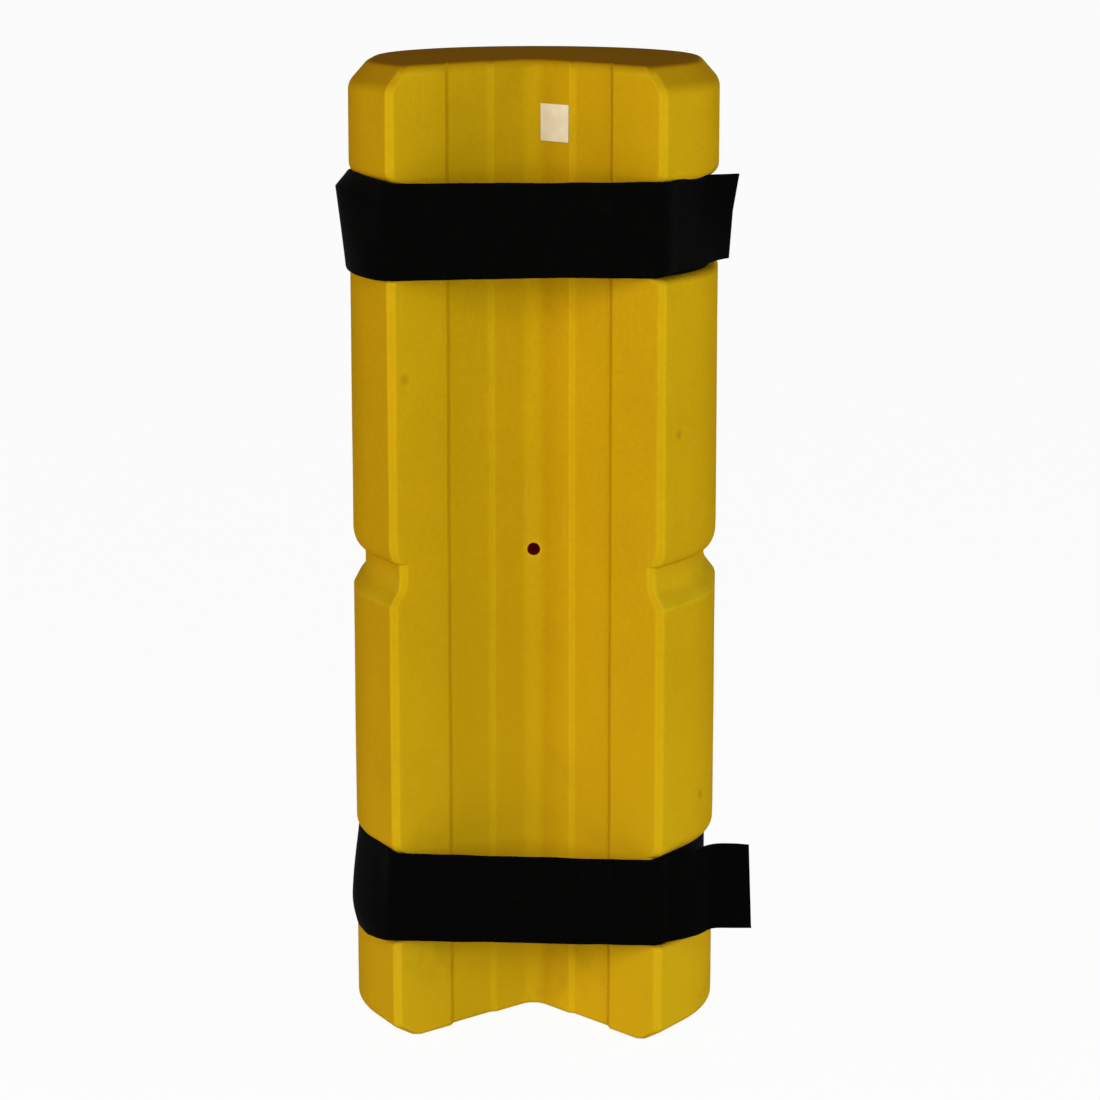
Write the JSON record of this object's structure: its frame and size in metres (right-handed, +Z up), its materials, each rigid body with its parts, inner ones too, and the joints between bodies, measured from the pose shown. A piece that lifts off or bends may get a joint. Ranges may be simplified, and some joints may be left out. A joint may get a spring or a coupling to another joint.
{
  "type": "rack upright protector",
  "caption": "Tall hollow moulded guard with a rounded front and a stepped channel at the back, tied round a rack upright by hook-and-loop straps in grooves.",
  "frame": {"origin": "on the floor face, below the centre of the rounded front, on the plane of symmetry", "axes": "+X to the right seen from the channel side, +Y away from the channel through the rounded front, +Z up"},
  "size_m": [0.2333, 0.2073, 0.56],
  "materials": {
    "body": "satin moulded polyethylene",
    "strap": "woven nylon",
    "hook_tape": "moulded hooks",
    "loop_tape": "brushed loops",
    "thread": "twisted thread",
    "label": "blank sticker"
  },
  "bodies": {
    "guard": {"body_shell": "body", "blank_label": "label", "upper_wrap_strap": "strap", "lower_wrap_strap": "strap"},
    "upper_flap": {"upper_closure_flap": "strap", "upper_hook_patch": "hook_tape", "upper_flap_stitching": "thread"},
    "upper_tail": {"upper_strap_tail": "strap"},
    "upper_inner": {"upper_inner_end": "strap", "upper_loop_patch": "loop_tape", "upper_inner_stitching": "thread"},
    "lower_flap": {"lower_closure_flap": "strap", "lower_hook_patch": "hook_tape", "lower_flap_stitching": "thread"},
    "lower_tail": {"lower_strap_tail": "strap"},
    "lower_inner": {"lower_inner_end": "strap", "lower_loop_patch": "loop_tape", "lower_inner_stitching": "thread"}
  },
  "joints": [
    {"name": "upper_flap_fold", "type": "hinge", "parent": "guard", "child": "upper_flap", "pos_m": [-0.074, -0.10114, 0.47], "axis": [0, 0, -1], "range_deg": [0, 95]},
    {"name": "upper_inner_fold", "type": "hinge", "parent": "guard", "child": "upper_inner", "pos_m": [0.07094, -0.09704, 0.47], "axis": [0, 0, 1], "range_deg": [0, 80.75]},
    {"name": "upper_tail_bend", "type": "hinge", "parent": "upper_flap", "child": "upper_tail", "pos_m": [0.0735, -0.10114, 0.47], "axis": [0, 0, -1], "range_deg": [0, 90]},
    {"name": "lower_flap_fold", "type": "hinge", "parent": "guard", "child": "lower_flap", "pos_m": [-0.074, -0.10114, 0.086], "axis": [0, 0, -1], "range_deg": [0, 95]},
    {"name": "lower_inner_fold", "type": "hinge", "parent": "guard", "child": "lower_inner", "pos_m": [0.07094, -0.09704, 0.086], "axis": [0, 0, 1], "range_deg": [0, 80.75]},
    {"name": "lower_tail_bend", "type": "hinge", "parent": "lower_flap", "child": "lower_tail", "pos_m": [0.0735, -0.10114, 0.086], "axis": [0, 0, -1], "range_deg": [-12, 75]}
  ],
  "couplings": [
    {"joint": "upper_inner_fold", "follows": "upper_flap_fold", "ratio": 0.85},
    {"joint": "lower_inner_fold", "follows": "lower_flap_fold", "ratio": 0.85}
  ]
}
